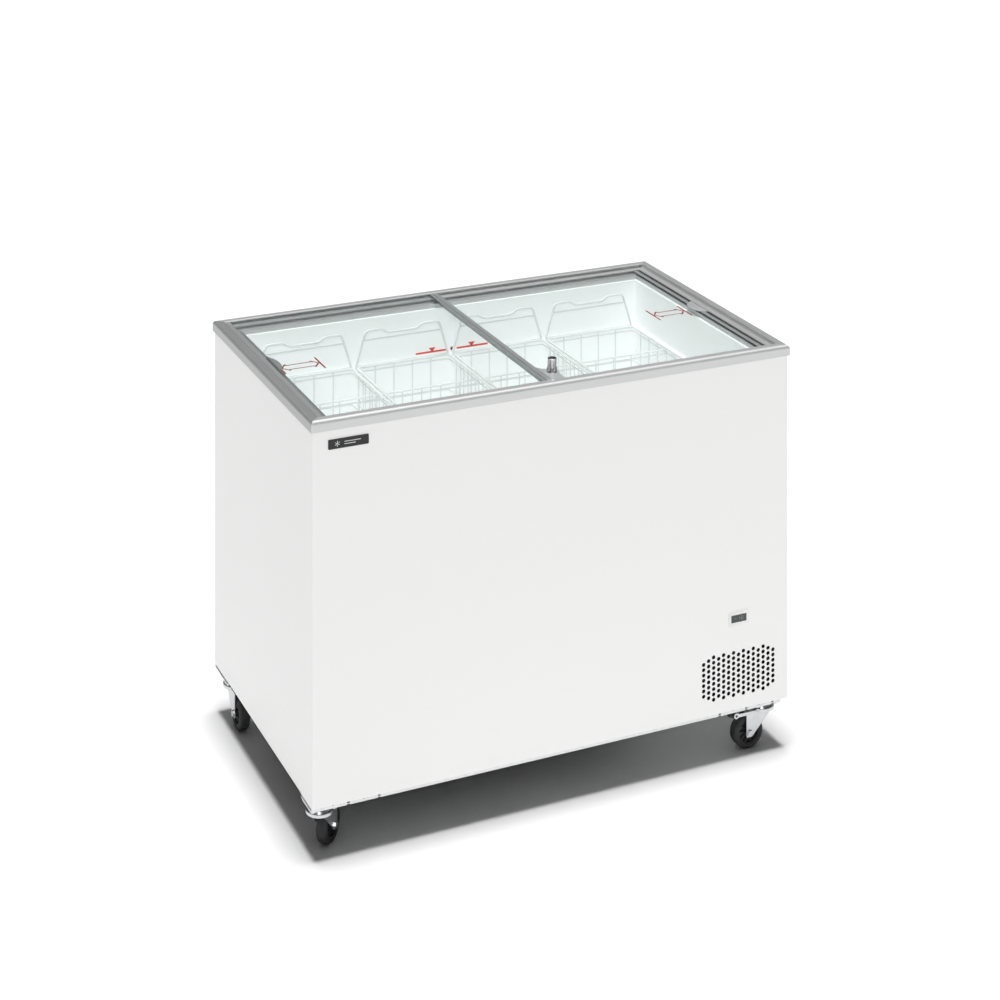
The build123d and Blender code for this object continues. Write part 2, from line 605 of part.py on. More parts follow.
def make_compressor():
    """Welded steel shell on a foot plate."""
    x, y = COMPRESSOR
    shell = rod((x, y, 132), (x, y, 290), COMPRESSOR_R)
    shell = fillet(shell.edges().group_by(Axis.Z)[-1], 34.0)
    shell = fillet(shell.edges().group_by(Axis.Z)[0], 20.0)
    seam = rod((x, y, 205), (x, y, 209), COMPRESSOR_R + 3)
    plate = block((x - 72, x + 72), (y - 86, y + 86), (124, 134))
    plate = fillet(plate.edges().filter_by(Axis.Z), 10.0)
    holes = [rod((fx, fy, 120), (fx, fy, 140), 7.0) for fx, fy in foot_centres()]
    return shell + seam + plate - holes


def make_compressor_feet():
    feet = []
    for x, y in foot_centres():
        foot = rod((x, y, 103), (x, y, 124), 12.0) + rod((x, y, 124), (x, y, 134), 7.0)
        feet.append(foot - rod((x, y, 102), (x, y, 140), 4.0))
    return feet


def make_start_relay():
    x, y = COMPRESSOR
    box = block((x + 60, x + 104), (y - 24, y + 24), (212, 262))
    box = fillet(box.edges().filter_by(Axis.X), 5.0)
    return box - rod((x, y, 132), (x, y, 290), COMPRESSOR_R)


def make_condenser():
    """Finned block behind the front vent: upright fins on a serpentine tube."""
    y = (-292.0, -256.0)
    fins = [block((x, x + 0.8), y, (112, 238)) for x in range(306, 480, 6)]
    rows = range(122, 230, 18)
    bars = []
    for depth in (-284.0, -264.0):
        points = []
        for index, z in enumerate(rows):
            ends = (300, 486) if index % 2 == 0 else (486, 300)
            points += [(ends[0], depth, z), (ends[1], depth, z)]
        bars.append(tube(points, TUBE_R, 8.9))
    joint = tube([(300, -284, 122), (294, -284, 122), (294, -264, 122), (300, -264, 122)], TUBE_R, 5.0)
    body = bars[0] + bars[1] + joint
    return body + fins


def make_fan_motor():
    """Guide ring on a stand, with the motor held behind it on three arms."""
    plate = block((FAN_X - 80, FAN_X + 80), (FAN_Y - 12, FAN_Y - 10), (103.0, FAN_Z + 78))
    plate += block((FAN_X - 80, FAN_X + 80), (FAN_Y - 12, FAN_Y + 10), (103.0, 105.0))
    ring = rod((FAN_X, FAN_Y - 12, FAN_Z), (FAN_X, FAN_Y + 12, FAN_Z), FAN_R + 6)
    inside = rod((FAN_X, FAN_Y - 20, FAN_Z), (FAN_X, FAN_Y + 20, FAN_Z), FAN_R + 3)
    motor = rod((FAN_X, FAN_Y + 22, FAN_Z), (FAN_X, FAN_Y + 62, FAN_Z), 30.0)
    arms = []
    for angle in (90, 210, 330):
        arm = block((24, FAN_R + 6), (FAN_Y + 22, FAN_Y + 26), (-6, 6))
        arm += block((FAN_R + 3, FAN_R + 6), (FAN_Y + 10, FAN_Y + 26), (-6, 6))
        arms.append(Pos(FAN_X, 0, FAN_Z) * Rot(0, angle, 0) * arm)
    shaft = rod((FAN_X, FAN_Y - 9, FAN_Z), (FAN_X, FAN_Y + 30, FAN_Z), FAN_SHAFT_R)
    return (plate + ring - inside) + motor + arms + shaft


def make_fan_blades():
    """Hub with five pitched blades."""
    hub = rod((0, -8, 0), (0, 8, 0), 15.0)
    fan = hub
    for index in range(5):
        blade = Rot(32, 0, 0) * block((12, FAN_R), (-14, 14), (-0.9, 0.9))
        fan += Rot(0, index * 72, 0) * (blade & rod((0, -9, 0), (0, 9, 0), FAN_R))
    fan -= rod((0, -20, 0), (0, 20, 0), FAN_SHAFT_R + RUN)
    return Pos(FAN_X, FAN_Y, FAN_Z) * fan


def make_filter_drier():
    x, y = DRIER
    body = rod((x, y, 150), (x, y, 240), 10.0)
    return chamfer(body.edges(), 5.0)


def make_pipes():
    """Discharge, liquid, capillary and suction pipes between the machine's parts."""
    x, y = COMPRESSOR
    dx, dy = DRIER
    discharge = tube([(x - COMPRESSOR_R, y, 240), (250, y, 240), (250, -264, 240), (250, -264, 212),
                      (300, -264, 212)], 3.0, 8.0)
    liquid = tube([(300, -284, 212), (240, -284, 212), (240, dy, 212), (240, dy, 262),
                   (dx, dy, 262), (dx, dy, 240)], 2.5, 7.0)
    coil_in, coil_out = LAP_Z[0], LAP_Z[-1]
    capillary = tube([(dx, dy, 150), (dx, dy, 138), (dx, CAPILLARY_Y, 138), (dx, CAPILLARY_Y, 325),
                      (COIL_X, CAPILLARY_Y, 325), (COIL_X, CAPILLARY_Y, coil_in),
                      (COIL_X, COIL_Y - 30, coil_in)], 1.5, 5.0)
    riser = SUCTION_X + 14
    suction = tube([(SUCTION_X, -COIL_Y, coil_out), (riser, -COIL_Y, coil_out),
                    (riser, -SUCTION_Y, coil_out), (riser, -SUCTION_Y, 310), (riser, 185, 310),
                    (x, 185, 310), (x, 185, 240), (x, y + COMPRESSOR_R, 240)], TUBE_R, 6.0)
    return [discharge, liquid, capillary, suction]


def make_thermostat():
    box = block((KNOB_X - 18, KNOB_X + 18), (GRILLE_Y - 34, GRILLE_Y), (KNOB_Z - 24, KNOB_Z + 24))
    box = fillet(box.edges().filter_by(Axis.Y), 4.0)
    return box + rod((KNOB_X, GRILLE_Y, KNOB_Z), (KNOB_X, GRILLE_Y + 10, KNOB_Z), 3.0)


def make_thermostat_knob():
    low, high = GRILLE_Y + 1.2 + GAP, GRILLE_Y + 17
    knob = rod((KNOB_X, low, KNOB_Z), (KNOB_X, high, KNOB_Z), 14.0)
    knob = fillet(knob.edges().group_by(Axis.Y)[-1], 2.0)
    pointer = block((KNOB_X - 1, KNOB_X + 1), (high - 1, high + 1), (KNOB_Z + 4, KNOB_Z + 14))
    notches = [
        Pos(KNOB_X, 0, KNOB_Z) * Rot(0, angle, 0) * rod((14.6, low + 2, 0), (14.6, high + 1, 0), 1.6)
        for angle in range(0, 360, 30)
    ]
    bore = rod((KNOB_X, low - 1, KNOB_Z), (KNOB_X, GRILLE_Y + 11, KNOB_Z), 3.0 + RUN)
    return knob - pointer - notches - bore


def make_power_cord():
    """Cord coiled in the grille's recess, with its moulded plug."""
    y = GRILLE_Y + 10
    path = [(CORD_X, GRILLE_Y - 30, CORD_Z), (CORD_X, y, CORD_Z), (260, y, CORD_Z), (260, y, 308),
            (400, y, 308), (400, y, 180), (330, y, 180)]
    cord = tube(path, CORD_R - 0.5, 8.0)
    plug = block((296, 330), (y - 7, y + 12), (166, 194))
    plug = fillet(plug.edges().filter_by(Axis.X), 5.0)
    pins = [rod((278, y + 2, z), (297, y + 2, z), 2.4) for z in (172, 188)]
    return cord + plug + pins


# ---- front panel fittings ----------------------------------------------------------
def make_badge():
    """Plain plate stuck on the front."""
    x = (BADGE_X - BADGE_W / 2, BADGE_X + BADGE_W / 2)
    plate = block(x, (-Y_FACE - 1.2, -Y_FACE), (BADGE_Z - BADGE_H / 2, BADGE_Z + BADGE_H / 2))
    return fillet(plate.edges().filter_by(Axis.Y), 2.0)


def make_meter_bezel():
    """Snap-in bezel with its window and the case behind the panel."""
    half_w, half_h = METER_W / 2, METER_H / 2
    front = -Y_FACE - 1.6
    face = (METER_X - half_w, METER_X + half_w), (METER_Z - half_h, METER_Z + half_h)
    bezel = block(face[0], (front, -Y_FACE), face[1])
    bezel = fillet(bezel.edges().filter_by(Axis.Y), 2.0)
    bezel = fillet(bezel.edges().group_by(Axis.Y)[0], 0.7)
    x = (METER_X - half_w + 2.2, METER_X + half_w - 2.2)
    z = (METER_Z - half_h + 2.2, METER_Z + half_h - 2.2)
    bezel += block(x, (-Y_FACE, -Y_FACE + 14), z)
    return bezel - window_block(-front + 1)


def window_block(reach):
    """The window of the thermometer, from `reach` in front of the cabinet's middle to 3 mm inside."""
    x = (METER_X - WINDOW_W / 2, METER_X + WINDOW_W / 2)
    z = (METER_Z - WINDOW_H / 2, METER_Z + WINDOW_H / 2)
    return block(x, (-reach, -Y_FACE + 3), z)


# ---- write every node --------------------------------------------------------------
def write_cabinet():
    save("front_panel", make_front_panel())
    save("left_side_panel", make_side_panel(-1))
    save("right_side_panel", make_side_panel(1))
    save("rear_panel", make_rear_panel())
    save("rear_grille", make_rear_grille())
    save("base_plate", make_base_plate())
    save("machine_tray", make_machine_tray())
    save("base_rails",
         make_base_rail(-Y_FACE + 4, SWIVEL_FRONT + PLATE / 2 + 1, SWIVEL_FRONT),
         make_base_rail(Y_FACE - 4, SWIVEL_REAR - PLATE / 2 - 1, SWIVEL_REAR))
    save("insulation_foam", make_insulation())
    save("inner_liner", make_inner_liner())
    save("drain_plug", make_drain_plug())
    save("drain_pipe", make_drain_pipe())
    save("evaporator_coil", make_evaporator())
    save("top_frame_front", Pos(0, -FRAME_D / 2, 0) * make_frame_rail(FRAME_W))
    save("top_frame_rear", Pos(0, FRAME_D / 2, 0) * Rot(0, 0, 180) * make_frame_rail(FRAME_W))
    save("top_frame_left", Pos(-FRAME_W / 2, 0, 0) * Rot(0, 0, -90) * make_frame_rail(FRAME_D, False))
    save("top_frame_right", Pos(FRAME_W / 2, 0, 0) * Rot(0, 0, 90) * make_frame_rail(FRAME_D, False, 5.0))
    save("badge_plate", make_badge())
    save("thermometer_bezel", make_meter_bezel())
    save("thermometer_display", window_block(Y_FACE + 1.0))


def write_machinery():
    save("compressor", make_compressor())
    save("compressor_feet", *make_compressor_feet())
    save("start_relay", make_start_relay())
    save("condenser_coil", make_condenser())
    save("fan_motor", make_fan_motor())
    save("fan_blades", make_fan_blades())
    save("refrigerant_pipes", make_filter_drier(), *make_pipes())
    save("thermostat_body", make_thermostat())
    save("thermostat_knob", make_thermostat_knob())
    save("power_cord", make_power_cord())


def write_lids():
    left = -FRAME_W / 2 + LIP + 1
    left_glass = pane((left + 3, BAR_X + BAR_W / 2 - 3), FRAME_D / 2 - UPPER_GROOVE - 1, UPPER_FLOOR)
    save("left_lid_glass", left_glass)
    low = UPPER_FLOOR + GLASS_LIFT
    left_x = (left, left + 10)
    save("left_lid_end_profile", make_end_profile(left_x, UPPER_HALF, low, PROFILE_TOP, left_glass))
    save("left_lid_meeting_profile", make_upper_bar(left_glass))
    save("left_lid_grip", make_left_grip())
    save("lock_housing", make_lock_housing())
    save("lock_barrel", make_lock_barrel())
    right_glass = pane((LOWER_BAR_X[0] + 2, RIGHT_END - 2), FRAME_D / 2 - LOWER_GROOVE - 1, LOWER_FLOOR)
    save("right_lid_glass", right_glass)
    low = LOWER_FLOOR + GLASS_LIFT
    right_x = (RIGHT_END - RIGHT_END_W, RIGHT_END)
    save("right_lid_end_profile", make_end_profile(right_x, LOWER_HALF, low, RIGHT_END_TOP, right_glass))
    save("right_lid_meeting_profile", make_lower_bar(right_glass))
    save("right_lid_grip", make_right_grip())


def write_baskets():
    for index in range(BASKETS):
        x = (index - (BASKETS - 1) / 2) * BASKET_PITCH
        save(f"basket_{index + 1}", make_basket(x))


def write_castors():
    save("castor_plates", *[make_castor_plate(name) for name in CASTORS])
    save("castor_bolts", *make_castor_bolts())
    for name, (_, _, _, braked) in CASTORS.items():
        save(f"castor_fork_{name}", on_castor(name, make_fork(braked)), on_castor(name, make_axle()))
        save(f"castor_hub_{name}", on_castor(name, make_hub()))
        save(f"castor_tyre_{name}", on_castor(name, make_tyre()))
        if braked:
            save(f"castor_brake_{name}", on_castor(name, make_brake_pedal()))


write_cabinet()
write_machinery()
write_lids()
write_baskets()
write_castors()
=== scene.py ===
import math

import bmesh
import bpy
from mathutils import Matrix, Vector


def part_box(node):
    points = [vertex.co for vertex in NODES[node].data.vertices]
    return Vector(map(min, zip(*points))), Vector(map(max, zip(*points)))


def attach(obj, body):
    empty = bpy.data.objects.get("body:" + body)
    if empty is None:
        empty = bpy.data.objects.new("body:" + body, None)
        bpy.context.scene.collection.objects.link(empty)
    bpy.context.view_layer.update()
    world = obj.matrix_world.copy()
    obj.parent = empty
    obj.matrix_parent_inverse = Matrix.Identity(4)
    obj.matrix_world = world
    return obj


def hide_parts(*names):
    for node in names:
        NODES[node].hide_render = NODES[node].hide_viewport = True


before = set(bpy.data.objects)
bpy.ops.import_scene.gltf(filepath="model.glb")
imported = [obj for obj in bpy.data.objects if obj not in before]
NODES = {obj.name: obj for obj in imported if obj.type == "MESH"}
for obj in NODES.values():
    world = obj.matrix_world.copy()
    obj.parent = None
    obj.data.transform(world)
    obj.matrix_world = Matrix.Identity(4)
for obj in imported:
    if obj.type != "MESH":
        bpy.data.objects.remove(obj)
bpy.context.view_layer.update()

MM = 0.001

# The camera is level and its lens is shifted down, so upright edges stay parallel.
CAMERA_PLACE = (-1.843, -4.135, 2.324)
CAMERA_TURN = math.radians(-24.114)
CAMERA_LENS = 79.54
CAMERA_SHIFT = -0.906
CAMERA_HOME_REACH = 0.01

SKY_HORIZON = 0.03
SKY_RISE = 0.35
SKY_CURVE = 4.0

# Each sun: the way its light travels, its width in degrees, its power, and what it lights.
DOWN = (0.0, 0.0, -1.0)
SUNS = (
    ("overhead", DOWN, 6.0, 1.8, "freezer"),
    ("soft_top", DOWN, 80.0, 1.25, "freezer"),
    ("front_fill", (0.5, 1.0, -0.6), 20.0, 1.07, "freezer"),
    ("floor_key", DOWN, 15.0, 3.9, "floor"),
)

FLOOR_SIZE = 30.0
FLOOR_DROP = 0.5 * MM


# ---- materials ------------------------------------------------------------------------
# Texture values between these two are spread over a material's whole range.
TEXTURE_LOW, TEXTURE_HIGH = 0.3, 0.7
LEAST_ROUGHNESS = 0.02
COAT_ROUGHNESS = 0.08
HAIR_LENGTH, HAIR_FINENESS = 2.0, 900.0
GLASS_TINT = (0.990, 0.998, 0.996)
GLASS_INDEX = 1.45


class Surface:
    """A principled material whose colour, roughness and relief are driven by textures."""

    def __init__(self, name, colour, roughness, metallic=0.0, coat=0.0):
        self.material = bpy.data.materials.new(name)
        self.material.use_nodes = True
        self.tree = self.material.node_tree
        self.shader = self.tree.nodes["Principled BSDF"]
        self.colour = colour
        self.roughness = roughness
        self.put("Base Color", (*colour, 1.0))
        self.put("Roughness", roughness)
        self.put("Metallic", metallic)
        self.put("Coat Weight", coat)
        self.put("Coat Roughness", COAT_ROUGHNESS)
        self.position = self.node("ShaderNodeTexCoord").outputs["Object"]

    def put(self, name, value):
        self.shader.inputs[name].default_value = value

    def node(self, kind, **values):
        made = self.tree.nodes.new(kind)
        for key, value in values.items():
            setattr(made, key, value)
        return made

    def link(self, source, target):
        self.tree.links.new(source, target)

    def noise(self, scale, detail=3.0, stretch=(1, 1, 1)):
        mapping = self.node("ShaderNodeMapping")
        mapping.inputs["Scale"].default_value = stretch
        self.link(self.position, mapping.inputs["Vector"])
        made = self.node("ShaderNodeTexNoise")
        made.inputs["Scale"].default_value = scale
        made.inputs["Detail"].default_value = detail
        self.link(mapping.outputs["Vector"], made.inputs["Vector"])
        return made.outputs["Fac"]

    def cells(self, scale, output):
        made = self.node("ShaderNodeTexVoronoi")
        made.inputs["Scale"].default_value = scale
        self.link(self.position, made.inputs["Vector"])
        return made.outputs[output]

    def spread(self, source, low, high):
        """Maps a texture's middle values onto low..high."""
        made = self.node("ShaderNodeMapRange")
        ends = {"From Min": TEXTURE_LOW, "From Max": TEXTURE_HIGH, "To Min": low, "To Max": high}
        for key, value in ends.items():
            made.inputs[key].default_value = value
        self.link(source, made.inputs["Value"])
        return made.outputs["Result"]

    def mottle(self, source, amount):
        """Varies the base colour between a darker and a lighter tone."""
        mix = self.node("ShaderNodeMix", data_type="RGBA")
        for socket, factor in (("A", 1 - amount), ("B", 1 + amount)):
            tone = [min(1.0, part * factor) for part in self.colour]
            mix.inputs[socket].default_value = (*tone, 1.0)
        self.link(self.spread(source, 0.0, 1.0), mix.inputs["Factor"])
        self.link(mix.outputs["Result"], self.shader.inputs["Base Color"])

    def gloss(self, source, amount):
        """Varies the roughness either side of its middle value."""
        low = max(LEAST_ROUGHNESS, self.roughness - amount)
        high = min(1.0, self.roughness + amount)
        self.link(self.spread(source, low, high), self.shader.inputs["Roughness"])

    def relief(self, source, depth, strength):
        """Adds a bump of the given depth in metres."""
        bump = self.node("ShaderNodeBump")
        bump.inputs["Strength"].default_value = strength
        bump.inputs["Distance"].default_value = depth
        self.link(source, bump.inputs["Height"])
        self.link(bump.outputs["Normal"], self.shader.inputs["Normal"])


def painted_steel(name, colour, roughness=0.32, painted_fill_light=0.0):
    """Powder coat: a fine orange peel under a soft gloss, and very faint clouding.

    A little emission is painted light: it brightens the tub's liner and wires as more studio light
    would, though neither is a lamp.
    """
    s = Surface(name, colour, roughness, coat=0.15)
    s.mottle(s.noise(scale=1.5), amount=0.004)
    s.gloss(s.noise(scale=4.0, detail=2.0), amount=0.02)
    s.relief(s.noise(scale=420.0, detail=2.0), depth=0.06 * MM, strength=0.35)
    s.put("Emission Color", (*colour, 1.0))
    s.put("Emission Strength", painted_fill_light)
    return s.material


def moulded_plastic(name, colour, roughness=0.45, grain=900.0, depth=0.08 * MM):
    """Spark-eroded mould texture with slight tone changes."""
    s = Surface(name, colour, roughness)
    s.mottle(s.noise(scale=25.0, detail=4.0), amount=0.07)
    s.gloss(s.noise(scale=60.0), amount=0.07)
    s.relief(s.noise(scale=grain, detail=2.0), depth=depth, strength=0.6)
    return s.material


def extruded(name, colour, roughness, metallic, along):
    """Satin extrusion: hair lines run along one axis, with cloudy wear across them."""
    stretch = tuple(HAIR_LENGTH if axis == along else HAIR_FINENESS for axis in range(3))
    s = Surface(name, colour, roughness, metallic)
    s.mottle(s.noise(scale=1.0, stretch=stretch), amount=0.035)
    s.gloss(s.noise(scale=8.0, detail=2.0), amount=0.02)
    s.relief(s.noise(scale=1.0, detail=2.0, stretch=stretch), depth=0.04 * MM, strength=0.4)
    return s.material


def galvanised(name):
    """Hot-dip zinc: crystal spangles of changing tone and gloss."""
    s = Surface(name, (0.74, 0.75, 0.75), 0.46, 0.5)
    spangle = s.node("ShaderNodeRGBToBW")
    s.link(s.cells(110.0, "Color"), spangle.inputs["Color"])
    s.mottle(spangle.outputs["Val"], amount=0.04)
    s.gloss(spangle.outputs["Val"], amount=0.05)
    s.relief(s.noise(scale=300.0), depth=0.05 * MM, strength=0.4)
    return s.material


def plated(name, colour, roughness, variation=0.06):
    """Bright plate over pressed steel: press marks, with a light haze."""
    s = Surface(name, colour, roughness, 1.0)
    s.mottle(s.noise(scale=90.0, detail=5.0), amount=0.06)
    s.gloss(s.noise(scale=45.0, detail=5.0), amount=variation)
    s.relief(s.noise(scale=160.0, detail=4.0), depth=0.10 * MM, strength=0.35)
    return s.material


def rubber(name, colour, roughness=0.72):
    """Matt rubber with a fine grain and paler scuffing."""
    s = Surface(name, colour, roughness)
    s.mottle(s.noise(scale=40.0, detail=6.0), amount=0.25)
    s.gloss(s.noise(scale=90.0), amount=0.10)
    s.relief(s.noise(scale=700.0), depth=0.12 * MM, strength=0.7)
    return s.material


def thin_glass(name):
    """Clear pane: light passes straight through with a faint green tint, and glances off it."""
    s = Surface(name, (0.02, 0.05, 0.045), 0.03)
    s.gloss(s.noise(scale=6.0, detail=5.0), amount=0.02)
    s.relief(s.noise(scale=2.5, detail=1.0), depth=0.4 * MM, strength=0.2)
    clear = s.node("ShaderNodeBsdfTransparent")
    clear.inputs["Color"].default_value = (*GLASS_TINT, 1.0)
    facing = s.node("ShaderNodeFresnel")
    facing.inputs["IOR"].default_value = GLASS_INDEX
    geometry = s.node("ShaderNodeNewGeometry")
    front = s.node("ShaderNodeMath", operation="SUBTRACT")
    front.inputs[0].default_value = 1.0
    s.link(geometry.outputs["Backfacing"], front.inputs[1])
    outer_only = s.node("ShaderNodeMath", operation="MULTIPLY")
    s.link(facing.outputs["Fac"], outer_only.inputs[0])
    s.link(front.outputs["Value"], outer_only.inputs[1])
    mix = s.node("ShaderNodeMixShader")
    s.link(outer_only.outputs["Value"], mix.inputs["Fac"])
    s.link(clear.outputs["BSDF"], mix.inputs[1])
    s.link(s.shader.outputs["BSDF"], mix.inputs[2])
    s.link(mix.outputs["Shader"], s.tree.nodes["Material Output"].inputs["Surface"])
    return s.material


def foam(name):
    """Rigid foam with open cells."""
    s = Surface(name, (0.82, 0.72, 0.42), 0.85)
    s.mottle(s.noise(scale=30.0, detail=6.0), amount=0.12)
    s.relief(s.cells(350.0, "Distance"), depth=0.8 * MM, strength=0.8)
    return s.material


def printed(name, colour):
    """Screen-printed ink on clear film, slightly broken up."""
    s = Surface(name, colour, 0.4)
    s.mottle(s.noise(scale=500.0), amount=0.10)
    s.gloss(s.noise(scale=80.0), amount=0.08)
    s.relief(s.noise(scale=700.0), depth=0.02 * MM, strength=0.3)
    return s.material


def build_materials():
    """Every material of the freezer, by a short name."""
    return {
        "panel": painted_steel("panel_powder_coat", (0.86, 0.86, 0.855)),
        # The liner and the wire coating get emission: painted light that brightens the tub's inside, not
        # a lamp.
        "liner": painted_steel("liner_paint_with_painted_light", (0.898, 0.92, 0.915), 0.40, painted_fill_light=0.245),
        "wire": painted_steel("wire_coating_with_painted_light", (0.81, 0.835, 0.83), 0.35, painted_fill_light=0.08),
        "enamel": painted_steel("black_enamel", (0.012, 0.012, 0.013), 0.22),
        # The condenser is black paint and also painted shade: it is kept this dark so the vent holes in
        # front of it look shadowed.
        "fins": painted_steel("condenser_black_paint_and_vent_shade", (0.015, 0.015, 0.016), 0.5),
        # Front and rear rails share one extrusion colour; the left and right rails get darker copies of
        # it, painted shade where less light reaches them.
        "frame_x": extruded("frame_extrusion_x", (0.62, 0.625, 0.625), 0.36, 0.45, 0),
        "frame_left_painted_shade": extruded("frame_extrusion_left_painted_shade", (0.40, 0.405, 0.405), 0.36, 0.45, 1),
        "frame_right": extruded("frame_extrusion_right_painted_shade", (0.56, 0.565, 0.565), 0.36, 0.45, 1),
        "profile_y": extruded("profile_extrusion_y", (0.38, 0.40, 0.40), 0.38, 0.35, 1),
        "housing": moulded_plastic("lock_housing_plastic", (0.38, 0.395, 0.395), 0.42),
        "grip": moulded_plastic("grip_plastic", (0.21, 0.225, 0.225), 0.5),
        "black": moulded_plastic("black_moulding", (0.010, 0.010, 0.011)),
        "white_plastic": moulded_plastic("white_moulding", (0.80, 0.80, 0.79), 0.33),
        "gloss_black": moulded_plastic(
            "black_gloss_plate", (0.006, 0.006, 0.007), 0.18, 200.0, 0.02 * MM),
        "display": moulded_plastic(
            "display_window", (0.055, 0.062, 0.062), 0.12, 150.0, 0.01 * MM),
        "glass": thin_glass("pane_glass"),
        "galvanised": galvanised("galvanised_sheet"),
        "zinc": plated("zinc_plate", (0.58, 0.59, 0.60), 0.34),
        "chrome": plated("lock_chrome", (0.66, 0.66, 0.67), 0.26, 0.05),
        "copper": plated("copper_tube", (0.72, 0.36, 0.22), 0.30),
        "underseal": rubber("underseal", (0.035, 0.035, 0.036), 0.85),
        "tyre": rubber("tyre_rubber", (0.018, 0.018, 0.019)),
        "rubber": rubber("foot_rubber", (0.02, 0.02, 0.02)),
        "foam": foam("insulation"),
        "red": printed("red_ink", (0.85, 0.09, 0.06)),
        "dark_red": printed("dark_red_ink", (0.26, 0.012, 0.018)),
        "pale": printed("pale_ink", (0.75, 0.76, 0.76)),
        "segment": printed("readout_segments", (0.17, 0.185, 0.18)),
    }


NODE_MATERIALS = {
    "inner_liner": "liner", "insulation_foam": "foam", "badge_plate": "gloss_black",
    "thermometer_display": "display", "thermometer_bezel": "white_plastic",
    "drain_plug": "white_plastic", "drain_pipe": "white_plastic",
    "left_lid_grip": "grip", "right_lid_grip": "housing", "lock_housing": "housing",
    "lock_barrel": "chrome", "compressor": "enamel", "compressor_feet": "rubber",
    "condenser_coil": "fins", "evaporator_coil": "copper", "refrigerant_pipes": "copper",
    "rear_grille": "panel", "castor_plates": "zinc", "castor_bolts": "zinc",
    "base_rails": "galvanised", "base_plate": "underseal", "machine_tray": "galvanised",
    # The side rails take the darker, painted-shade copies of the rail extrusion.
    "top_frame_front": "frame_x", "top_frame_rear": "frame_x",
    "top_frame_left": "frame_left_painted_shade", "top_frame_right": "frame_right",
}
NODE_ENDINGS = {"_panel": "panel", "_glass": "glass", "_profile": "profile_y"}
NODE_STARTS = {"castor_fork": "zinc", "castor_tyre": "tyre", "basket": "wire"}


def material_for(node):
    """The material name for a CAD node: by its name, its ending or its start, else black."""
    if node in NODE_MATERIALS:
        return NODE_MATERIALS[node]
    for ending, name in NODE_ENDINGS.items():
        if node.endswith(ending):
            return name
    for start, name in NODE_STARTS.items():
        if node.startswith(start):
            return name
    return "black"


def paint_nodes():
    for node_name, node_object in NODES.items():
        node_object.data.materials.clear()
        node_object.data.materials.append(MATERIALS[material_for(node_name)])


MATERIALS = build_materials()
paint_nodes()


# ---- mesh helpers -----------------------------------------------------------------------
# How thick every print is.
FILM = 0.15 * MM
BEND_STEPS = 4
# The most of a straight run that one bend may use up.
BEND_SHARE = 0.45


def rounded(points, bend, closed=False):
    """A polyline with each inner corner turned into a short arc-like curve."""
    points = [Vector(p) for p in points]
    count = len(points)
    out = []
    for index, corner in enumerate(points):
        if not closed and index in (0, count - 1):
            out.append(corner)
            continue
        before = points[index - 1] - corner
        after = points[(index + 1) % count] - corner
        reach = min(bend, before.length * BEND_SHARE, after.length * BEND_SHARE)
        start = corner + before.normalized() * reach
        stop = corner + after.normalized() * reach
        for step in range(BEND_STEPS + 1):
            t = step / BEND_STEPS
            out.append(start.lerp(corner, t).lerp(corner.lerp(stop, t), t))
    return out


def wire_piece(name, runs, material, body, replaced):
    """Round wires swept along their runs: (points, radius, closed), joined as one mesh."""
    curve = bpy.data.curves.new(name, "CURVE")
    curve.dimensions = "3D"
    curve.bevel_depth = MM
    curve.bevel_resolution = 2
    curve.use_fill_caps = True
    for points, radius, closed in runs:
        spline = curve.splines.new("POLY")
        spline.points.add(len(points) - 1)
        for target, point in zip(spline.points, points):
            target.co = (*point, 1.0)
            target.radius = radius / MM
        spline.use_cyclic_u = closed
    shape = bpy.data.objects.new(name + "_curve", curve)
    bpy.context.scene.collection.objects.link(shape)
    bpy.context.view_layer.update()
    mesh = bpy.data.meshes.new_from_object(shape.evaluated_get(bpy.context.evaluated_depsgraph_get()))
    bpy.data.objects.remove(shape)
    mesh.name = name
    mesh.materials.clear()
    mesh.materials.append(material)
    for polygon in mesh.polygons:
        polygon.use_smooth = True
    piece = bpy.data.objects.new(name, mesh)
    bpy.context.scene.collection.objects.link(piece)
    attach(piece, body)
    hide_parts(replaced)
    return piece


def thin_print(name, outlines, plane, material, body):
    """Flat printed shapes: outlines in the plane's own two axes, as thick as a film."""
    origin, across, up = (Vector(v) for v in plane)
    normal = across.cross(up)
    work = bmesh.new()
    for outline in outlines:
        front = [work.verts.new(origin + across * u + up * v + normal * FILM) for u, v in outline]
        back = [work.verts.new(origin + across * u + up * v) for u, v in outline]
        work.faces.new(front)
        work.faces.new(list(reversed(back)))
        for index in range(len(outline)):
            following = (index + 1) % len(outline)
            work.faces.new((front[index], back[index], back[following], front[following]))
    bmesh.ops.recalc_face_normals(work, faces=work.faces)
    mesh = bpy.data.meshes.new(name)
    work.to_mesh(mesh)
    work.free()
    mesh.materials.append(material)
    piece = bpy.data.objects.new(name, mesh)
    bpy.context.scene.collection.objects.link(piece)
    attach(piece, body)


def bar(x0, y0, x1, y1, width):
    """A straight stroke of the given width, as a four-point outline."""
    start, stop = Vector((x0, y0)), Vector((x1, y1))
    side = (stop - start).normalized() * (width / 2)
    side = Vector((-side.y, side.x))
    return [tuple(start + side), tuple(start - side), tuple(stop - side), tuple(stop + side)]


def upright_plane(node):
    """The plane of a node's front face, with its origin in the middle of that face."""
    low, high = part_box(node)
    centre = (low + high) / 2
    return (centre.x, low.y, centre.z), (1, 0, 0), (0, 0, 1)


